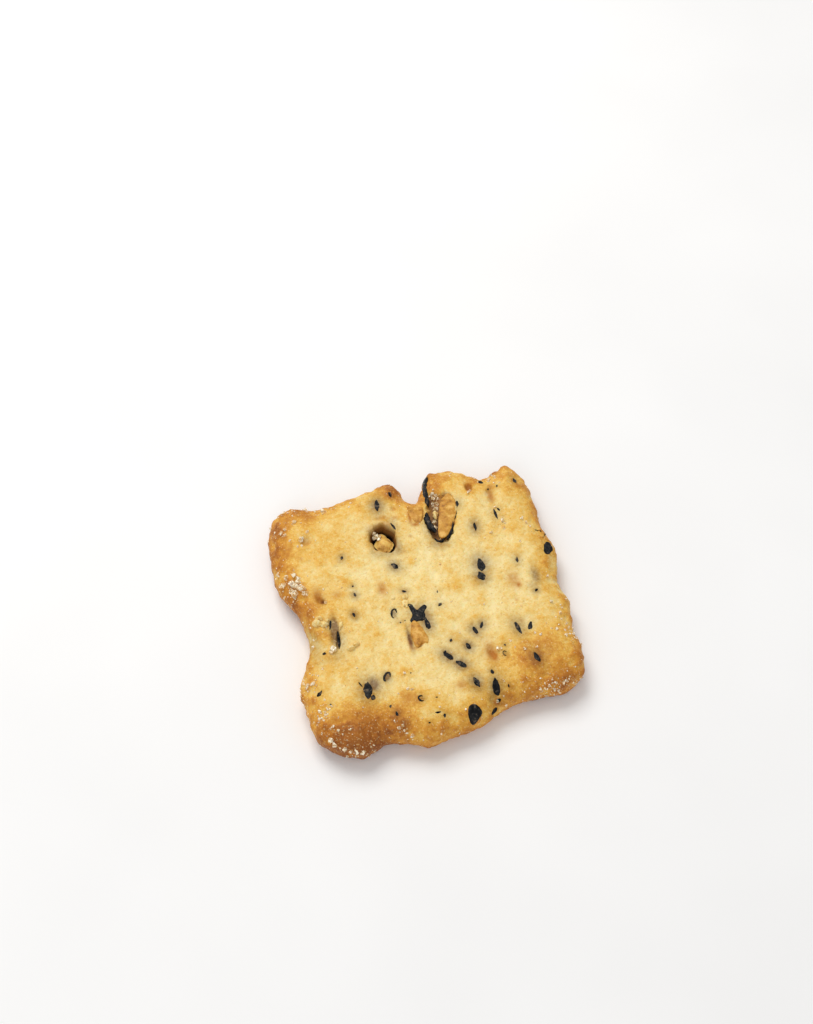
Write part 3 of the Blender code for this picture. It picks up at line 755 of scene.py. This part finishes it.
def strip(route, width, lift, surface, samples=26):
    """Points and faces of a strip of skin along a route, cupped, frayed and thinned towards its ends."""
    line, sides = open_curve(route, samples)
    points = []
    for number, (spot, side) in enumerate(zip(line, sides)):
        share = number / (len(line) - 1)
        wide = width * (0.2 + 0.8 * math.sin(math.pi * share) ** 0.45)
        wide *= 1 + 0.5 * noise.noise(Vector((*spot * 1.7, 4)))
        for offset, up in STRIP_SECTION:
            place, facing = surface.seen(*(spot + side * wide * offset))
            points.append(place + facing * (lift + up))
    count = len(STRIP_SECTION)
    faces = []
    for row in range(len(line) - 1):
        near = row * count
        for i in range(count):
            after = (i + 1) % count
            faces.append((near + i, near + after, near + count + after, near + count + i))
    faces.append(tuple(reversed(range(count))))
    faces.append(tuple(range((len(line) - 1) * count, len(line) * count)))
    return points, faces


def skin_pieces(finish, plain, crust, rng):
    """Every bit of black bean skin: flat ones, curled ones and the walls of the half bean."""
    pile = Pile()
    for across, along, length, width, turn, _ in SKIN_BITS:
        sides = 12 if length < 1 else 22
        outline = ragged_oval(across, along, length, width, turn, sides, rng)
        crown = rng.uniform(-0.03, 0.10) * min(1, width)
        facing = plain.seen(across, along)[1]
        pile.add(*slab(outline, (-SKIN_DEPTH, SKIN_LEVEL), crown, crust, facing, 4))
    for outline, crown in ((STAR, -0.04), (LEAF, 0.10)):
        points = closed_curve(outline, 44)
        facing = plain.seen(*points.mean(0))[1]
        pile.add(*slab(points, (-SKIN_DEPTH, SKIN_LEVEL + 0.02), crown, crust, facing))
    for across, along, width, length, turn, skin in CURLS:
        route = []
        for step in range(9):
            round_by = math.radians(10 + 260 * step / 8)
            right, away = math.cos(round_by) * width / 2, math.sin(round_by) * length / 2
            route.append(turned(across, along, right, away, turn))
        pile.add(*strip(route, skin, 0.04, crust))
    for route, width, lift in SKIN_WALLS:
        pile.add(*strip(route, width, lift, plain))
    pile.roughen(0.4, 0.05)
    return pile.made("bean_skin", finish)


def flesh_pieces(finish, plain, rng):
    """The half bean's slab, the two wedges and the bean in the pit."""
    pile = Pile()
    for outline, top, crown in CUT_BEAN:
        pile.add(*slab(closed_curve(outline, 64), (-0.9, top), crown, plain, None, 10))
    cut = len(pile.points)
    across, along, half_width, half_length, height = PIT_BEAN
    bead = ragged_oval(across, along, half_length * 2, half_width * 2, 90, 40, rng, 0.06)
    pile.add(*slab(bead, (-0.8, -0.35), 0.7, Level(height), None, 10))
    pile.roughen(1.0, 0.10)
    pile.roughen(0.45, 0.05)
    made = pile.made("bean_flesh", finish)
    set_mask(made.data, "in_pit", (np.arange(len(pile.points)) >= cut) * 1.0)
    return made


def crumb_pieces(finish, crust, rng):
    """Crumbs of pale dough lying on the face."""
    pile = Pile()
    for across, along, length, width, turn, height in CRUMBS:
        outline = ragged_oval(across, along, length, width, turn, 22, rng, 0.2)
        pile.add(*slab(outline, (-0.2, height * 0.4), height * 0.6, crust, Vector((0, 0, 1)), 5))
    pile.roughen(0.38, 0.14)
    return pile.made("crumbs", finish)


def grain_shape(number, rng):
    """One shape of sugar grain: a chipped crystal with flat sides, about a metre long until scaled."""
    shape = bmesh.new()
    for _ in range(GRAIN_CORNERS):
        way = Vector([rng.uniform(-1, 1) for _ in range(3)])
        way /= max(abs(value) for value in way) ** 0.7 * way.length**0.3
        shape.verts.new(Vector((way.x * 0.68, way.y * 0.56, way.z * 0.5)) * rng.uniform(0.8, 1.0))
    hull = bmesh.ops.convex_hull(shape, input=shape.verts[:])
    inside = hull["geom_interior"] + hull["geom_unused"]
    spare = {part for part in inside if isinstance(part, bmesh.types.BMVert)}
    bmesh.ops.delete(shape, geom=list(spare), context="VERTS")
    bmesh.ops.recalc_face_normals(shape, faces=shape.faces[:])
    mesh = bpy.data.meshes.new(f"grain_shape_{number}")
    shape.to_mesh(mesh)
    shape.free()
    return bpy.data.objects.new(mesh.name, mesh)


def feed(tree, socket, value):
    """Gives a node's socket a number, colour or the like, or links it to another node's result."""
    if isinstance(value, Value):
        value = value.socket
    if isinstance(value, bpy.types.NodeSocket):
        tree.links.new(value, socket)
    else:
        socket.default_value = value


def new_node(tree, kind, settings, sockets):
    """Adds a node to a tree, sets its settings and feeds its sockets."""
    made = tree.nodes.new(kind)
    for name, value in settings.items():
        setattr(made, name, value)
    for key, value in sockets.items():
        for single in value if isinstance(value, list) else [value]:
            feed(tree, made.inputs[key], single)
    return made


SCATTER_INPUTS = {
    "Geometry": "Geometry", "Places": "Object", "Shapes": "Collection", "Density": "Float",
    "Smallest": "Float", "Largest": "Float", "Rarity": "Float", "Seed": "Int", "Finish": "Material",
}


def scatter_tree():
    """Strews grains where a surface's coating is thick, and sets more at a second object's points."""
    tree = bpy.data.node_groups.new("sugar_scatter", "GeometryNodeTree")
    tree.interface.new_socket("Geometry", in_out="OUTPUT", socket_type="NodeSocketGeometry")
    names = {}
    for name, kind in SCATTER_INPUTS.items():
        made = tree.interface.new_socket(name, in_out="INPUT", socket_type="NodeSocket" + kind)
        names[name] = made.identifier
    given = tree.nodes.new("NodeGroupInput").outputs
    seed = given["Seed"]

    def node(kind, sockets, output=0, **settings):
        return new_node(tree, kind, settings, sockets).outputs[output]

    coating = node("GeometryNodeInputNamedAttribute", {"Name": "coating"})
    density = node("ShaderNodeMath", {0: coating, 1: given["Density"]}, operation="MULTIPLY")
    sockets = {"Mesh": given["Geometry"], "Density": density, "Seed": seed}
    strewn = node("GeometryNodeDistributePointsOnFaces", sockets)
    draw = node("FunctionNodeRandomValue", {2: 0, 3: 1, "Seed": seed}, 1)
    few_large = node("ShaderNodeMath", {0: draw, 1: given["Rarity"]}, operation="POWER")
    sockets = {"Value": few_large, "To Min": given["Smallest"], "To Max": given["Largest"]}
    size = node("ShaderNodeMapRange", sockets)
    sockets = {"Geometry": strewn, "Name": "grain_size", "Value": size}
    strewn_sized = node("GeometryNodeStoreNamedAttribute", sockets)
    places = node("GeometryNodeObjectInfo", {"Object": given["Places"]}, "Geometry")
    placed = node("GeometryNodeMeshToPoints", {"Mesh": places})
    spots = node("GeometryNodeJoinGeometry", {"Geometry": [strewn_sized, placed]})
    sockets = {"Collection": given["Shapes"], "Separate Children": True, "Reset Children": True}
    shapes = node("GeometryNodeCollectionInfo", sockets)
    number = node("GeometryNodeInputIndex", {})
    sockets = {0: (0, 0, 0), 1: (2 * math.pi,) * 3, "ID": number, "Seed": seed}
    turn = node("FunctionNodeRandomValue", sockets, data_type="FLOAT_VECTOR")
    sockets = {
        "Points": spots, "Instance": shapes, "Pick Instance": True, "Instance Index": number,
        "Rotation": turn, "Scale": node("GeometryNodeInputNamedAttribute", {"Name": "grain_size"}),
    }
    solid = node("GeometryNodeRealizeInstances", {"Geometry": node("GeometryNodeInstanceOnPoints", sockets)})
    finished = node("GeometryNodeSetMaterial", {"Geometry": solid, "Material": given["Finish"]})
    tree.links.new(finished, tree.nodes.new("NodeGroupOutput").inputs["Geometry"])
    return tree, names


def sugar_grains(finish, dough, crust, rng):
    """All grains of sugar as one mesh: larger ones at their places, finer ones strewn by the coating."""
    shapes = bpy.data.collections.new("grain_shapes")
    for number in range(GRAIN_SHAPES):
        shapes.objects.link(grain_shape(number, rng))
    spots = []
    for grains, surface in ((GRAINS, crust), (PIT_GRAINS, Level(PIT_GRAIN_HEIGHT))):
        for across, along, size in grains:
            place, facing = surface.seen(across, along)
            spots.append(place + facing * size * 0.15)
    places = mesh_of("grain_places", spots, [], finish)
    set_mask(places.data, "grain_size", np.array([size * MM for _, _, size in GRAINS + PIT_GRAINS]))
    carrier = new_object("sugar_carrier", dough.data)
    scatter = carrier.modifiers.new("scatter", "NODES")
    scatter.node_group, names = scatter_tree()
    inputs = {
        "Places": places, "Shapes": shapes, "Density": GRAIN_DENSITY, "Smallest": GRAIN_SIZE[0] * MM,
        "Largest": GRAIN_SIZE[1] * MM, "Rarity": GRAIN_RARITY, "Seed": SEED, "Finish": finish,
    }
    for name, value in inputs.items():
        scatter[names[name]] = value
    graph = bpy.context.evaluated_depsgraph_get()
    mesh = bpy.data.meshes.new_from_object(carrier.evaluated_get(graph))
    mesh.name = "sugar"
    made = new_object("sugar", mesh)
    for spent in (carrier, places, *shapes.objects):
        bpy.data.objects.remove(spent)
    bpy.data.collections.remove(shapes)
    return made


def tint(red, green, blue):
    """A colour as the shader takes it, from display values of 0 to 255."""
    linear = []
    for value in (red, green, blue):
        share = value / 255
        linear.append(share / 12.92 if share <= 0.04045 else ((share + 0.055) / 1.055) ** 2.4)
    return (*linear, 1.0)


class Value:
    """A number that varies over a surface: sums and products on it add the nodes for them."""

    def __init__(self, finish, socket):
        self.finish = finish
        self.socket = socket

    def _with(self, operation, first, second):
        return self.finish.node("Math", {"operation": operation}, {0: first, 1: second})

    def __add__(self, other):
        return self._with("ADD", self, other)

    def __radd__(self, other):
        return self._with("ADD", other, self)

    def __sub__(self, other):
        return self._with("SUBTRACT", self, other)

    def __rsub__(self, other):
        return self._with("SUBTRACT", other, self)

    def __mul__(self, other):
        return self._with("MULTIPLY", self, other)

    def __rmul__(self, other):
        return self._with("MULTIPLY", other, self)

    def clipped(self):
        """The number kept from 0 to 1."""
        return self.finish.node("Clamp", {}, {"Value": self})

    def over(self, start, width):
        """Rises from 0 to 1 as the number passes from the start over the given width."""
        return ((self - start) * (1 / width)).clipped()


class Finish:
    """A material: its shader's fixed settings, and one method that adds any node."""

    def __init__(self, name, **settings):
        self.material = bpy.data.materials.new(name)
        self.material.use_nodes = True
        self.tree = self.material.node_tree
        self.shader = self.tree.nodes["Principled BSDF"]
        self.wear(**settings)
        self.place = self.node("TexCoord", {}, {}, "Object")

    def node(self, kind, settings, sockets, output=0):
        """Adds a node; returns the value of one of its outputs."""
        made = new_node(self.tree, "ShaderNode" + kind, settings, sockets)
        return Value(self, made.outputs[output])

    def mask(self, name):
        """A number stored at the mesh's points."""
        return self.node("Attribute", {"attribute_name": name}, {}, "Fac")

    def cloud(self, length, detail=3.0, roughness=0.55, shift=0.0):
        """Noise from 0 to 1 with features of the given length in millimetres."""
        place = self.node("VectorMath", {"operation": "ADD"}, {0: self.place, 1: (shift, shift, shift)})
        sockets = {"Vector": place, "Scale": 1 / (length * MM), "Detail": detail, "Roughness": roughness}
        return self.node("TexNoise", {}, sockets)

    def ramp(self, value, *stops):
        """A colour by a number, from stops of a place and display values of red, green and blue."""
        made = self.node("ValToRGB", {}, {"Fac": value})
        ramp = made.socket.node.color_ramp.elements
        while len(ramp) < len(stops):
            ramp.new(0.5)
        for stop, (at, *colour) in zip(ramp, stops):
            stop.position = at
            stop.color = tint(*colour)
        return made

    def mix(self, share, first, second, blend="MIX"):
        """One colour over another by a share."""
        settings = {"data_type": "RGBA", "blend_type": blend}
        return self.node("Mix", settings, {0: share, 6: first, 7: second}, 2)

    def bump(self, height, distance):
        return self.node("Bump", {}, {"Height": height, "Distance": distance * MM, "Strength": 1})

    def wear(self, **values):
        """Feeds the shader's sockets."""
        for key, value in values.items():
            feed(self.tree, self.shader.inputs[key.replace("_", " ")], value)
        return self.material


def dough_finish():
    """Baked dough: pale, then golden, then brown at the rim, with caramel spots and grey stains, painted
    shade in its hollows and on two patches, a painted shadow in the pit, and pale flecks that are partly
    painted glints.
    """
    finish = Finish(
        "baked_dough", Subsurface_Weight=0.10, Subsurface_Radius=(0.9, 0.45, 0.2), Subsurface_Scale=0.0005,
        Specular_IOR_Level=0.35,
    )
    broad = finish.cloud(2.2, 4.0)
    fine = finish.cloud(0.6, 4.0, 0.65)
    dots = finish.cloud(0.26, 2.0, 0.6)
    # Browning and the one patch of painted shade drive the colour ramp
    browning = finish.mask("browning") + (broad - 0.5) * 0.34 + (fine - 0.5) * 0.45 + (dots - 0.5) * 0.35
    colour = finish.ramp(
        browning.clipped(), (0, 250, 230, 168), (0.2, 243, 212, 134), (0.4, 236, 186, 82),
        (0.6, 215, 148, 46), (0.8, 186, 114, 28), (1, 146, 80, 16),
    )
    freckles = finish.cloud(0.42, 2.0, 0.5, 0.3).over(0.60, 0.10) * 0.35
    colour = finish.mix(freckles, colour, tint(198, 140, 52))
    # Pale flecks: partly pale specks of the crust, partly painted glints
    flecks_and_glints = finish.cloud(0.30, 2.0, 0.5, 0.7).over(0.60, 0.12) * 0.5
    colour = finish.mix(flecks_and_glints, colour, tint(252, 230, 170))
    caramel = (finish.mask("caramel") * (0.5 + fine)).clipped()
    colour = finish.mix(caramel, colour, tint(188, 118, 32))
    sunk = finish.mask("sunk")
    # Browner with depth in the hollows: partly browned walls, partly painted shade
    colour = finish.mix(sunk.over(0.08, 0.3) * 0.9, colour, tint(150, 94, 34))
    # Grey darkening: stains of the bean, and painted shade on the left slope
    stain = (finish.mask("stain") * (0.5 + fine)).clipped()
    colour = finish.mix(stain, colour, tint(148, 135, 142), "MULTIPLY")
    # Near black at the bottom of the pit, the deepest hollow: a painted shadow
    colour = finish.mix(sunk.over(0.6, 0.3), colour, tint(30, 14, 5))
    relief = finish.bump(fine * 0.6 + dots * 0.4, 0.16)
    return finish.wear(Base_Color=colour, Roughness=(0.5 + 0.2 * fine).clipped(), Normal=relief)


def skin_finish():
    """Black bean skin: near black with a cool grey bloom, wrinkled and half glossy."""
    finish = Finish("black_bean_skin", Specular_IOR_Level=0.16, Coat_Roughness=0.2)
    bloom = finish.cloud(0.7, 3.0)
    wrinkle = finish.cloud(0.22, 3.0)
    colour = finish.ramp(bloom, (0.3, 3, 4, 5), (0.48, 8, 9, 12), (0.58, 38, 38, 38), (0.7, 112, 96, 76))
    return finish.wear(
        Base_Color=colour,
        Roughness=(0.26 + 0.3 * bloom).clipped(),
        Coat_Weight=(0.22 * wrinkle.over(0.5, 0.2)).clipped(),
        Normal=finish.bump(wrinkle, 0.1),
    )


def flesh_finish():
    """Cut bean: warm tan, satin, with faint darker grain."""
    finish = Finish(
        "cut_bean", Subsurface_Weight=0.12, Subsurface_Radius=(0.8, 0.4, 0.15), Subsurface_Scale=0.0005,
        Specular_IOR_Level=0.25,
    )
    broad = finish.cloud(1.1, 4.0, 0.65)
    grain = finish.cloud(0.3, 3.0)
    colour = finish.ramp(
        broad, (0.3, 140, 86, 24), (0.44, 198, 138, 50), (0.55, 214, 158, 66), (0.68, 240, 192, 106),
    )
    colour = finish.mix(finish.mask("in_pit") * broad.over(0.3, 0.3), colour, tint(242, 202, 110))
    return finish.wear(
        Base_Color=colour,
        Roughness=(0.36 + 0.25 * grain).clipped(),
        Normal=finish.bump(grain, 0.05),
    )


def crumb_finish():
    """Loose crumbs: the palest dough."""
    finish = Finish(
        "pale_crumb", Subsurface_Weight=0.15, Subsurface_Radius=(0.9, 0.6, 0.3), Subsurface_Scale=0.0005,
        Specular_IOR_Level=0.4,
    )
    fine = finish.cloud(0.4, 3.0)
    colour = finish.ramp(fine, (0.3, 228, 186, 104), (0.5, 243, 212, 136), (0.7, 252, 234, 178))
    relief = finish.bump(fine, 0.06)
    return finish.wear(Base_Color=colour, Roughness=(0.4 + 0.3 * fine).clipped(), Normal=relief)


def sugar_finish():
    """Sugar: clear grains with milky parts, warm and white ones side by side; the milky white parts are
    partly painted glints.
    """
    finish = Finish("sugar_grains", Specular_IOR_Level=0.8)
    each = finish.cloud(0.7, 1.0)
    colour = finish.ramp(each, (0.36, 246, 200, 122), (0.5, 254, 226, 168), (0.62, 255, 248, 222))
    # Milky white parts: partly the crystals' own milkiness, partly painted glints
    milk_and_glints = finish.cloud(0.42, 2.0, 0.6, 0.5).over(0.46, 0.09)
    return finish.wear(
        Base_Color=finish.mix(milk_and_glints * 0.8, colour, tint(255, 243, 216)),
        Roughness=(0.05 + 0.3 * finish.cloud(0.6, 2.0)).clipped(),
        Alpha=0.40 + 0.6 * milk_and_glints,
    )


def add_floor():
    """A plain pale floor."""
    half = 4000
    finish = Finish("pale_floor")
    colour = finish.ramp(finish.cloud(40, 2.0), (0.3, 250, 250, 250), (0.7, 254, 254, 254))
    finish.wear(Base_Color=colour, Roughness=0.9)
    corners = [(-half, -half, 0), (half, -half, 0), (half, half, 0), (-half, half, 0)]
    mesh_of("floor", corners, [(0, 1, 2, 3)], finish.material)


def add_light(name, place, size, power, colour):
    """A soft square light at a place in millimetres, turned to the cracker."""
    lamp = bpy.data.lights.new(name, "AREA")
    lamp.size = size * MM
    lamp.energy = power
    lamp.color = colour
    made = new_object(name, lamp)
    made.location = Vector(place) * MM
    made.rotation_euler = (-made.location).to_track_quat("-Z", "Y").to_euler()


def add_studio():
    """Soft light from above and behind, and all round."""
    world = bpy.data.worlds.new("studio")
    world.use_nodes = True
    world.node_tree.nodes["Background"].inputs["Color"].default_value = (1, 1, 1, 1)
    world.node_tree.nodes["Background"].inputs["Strength"].default_value = 0.48
    bpy.context.scene.world = world
    add_light("key", (-60, 230, 380), 260, 1.12, (1.0, 0.98, 0.95))
    add_light("front", (-160, -300, 260), 300, 0.3, (1.0, 1.0, 1.0))
    bpy.context.scene.view_settings.view_transform = "Standard"


def add_camera():
    """The camera at the photograph's viewing angle."""
    lens = bpy.data.cameras.new("camera")
    lens.lens = CAMERA_LENS
    lens.sensor_width = 36
    lens.clip_start = 0.01
    lens.clip_end = 20
    camera = new_object("camera", lens)
    camera.location = EYE * MM
    camera.rotation_euler = CAMERA_BACK.to_track_quat("Z", "Y").to_euler()
    bpy.context.scene.camera = camera


def main():
    """Builds the cracker, its floor, light and camera."""
    rng = random.Random(SEED)
    noise.seed_set(SEED)
    form = dough_form()
    plain = Surface(form[0], form[1])
    dough, places = dough_body(form, plain, dough_finish(), rng)
    crust = Surface(places, form[1])
    pieces = (
        ("bean_skin", skin_pieces(skin_finish(), plain, crust, rng)),
        ("bean_flesh", flesh_pieces(flesh_finish(), plain, rng)),
        ("dough", crumb_pieces(crumb_finish(), crust, rng)),
        ("sugar", sugar_grains(sugar_finish(), dough, crust, rng)),
        ("dough", dough),
    )
    for slot, piece in pieces:
        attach(piece, "root")
        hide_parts("cracker")
    add_floor()
    add_studio()
    add_camera()


main()
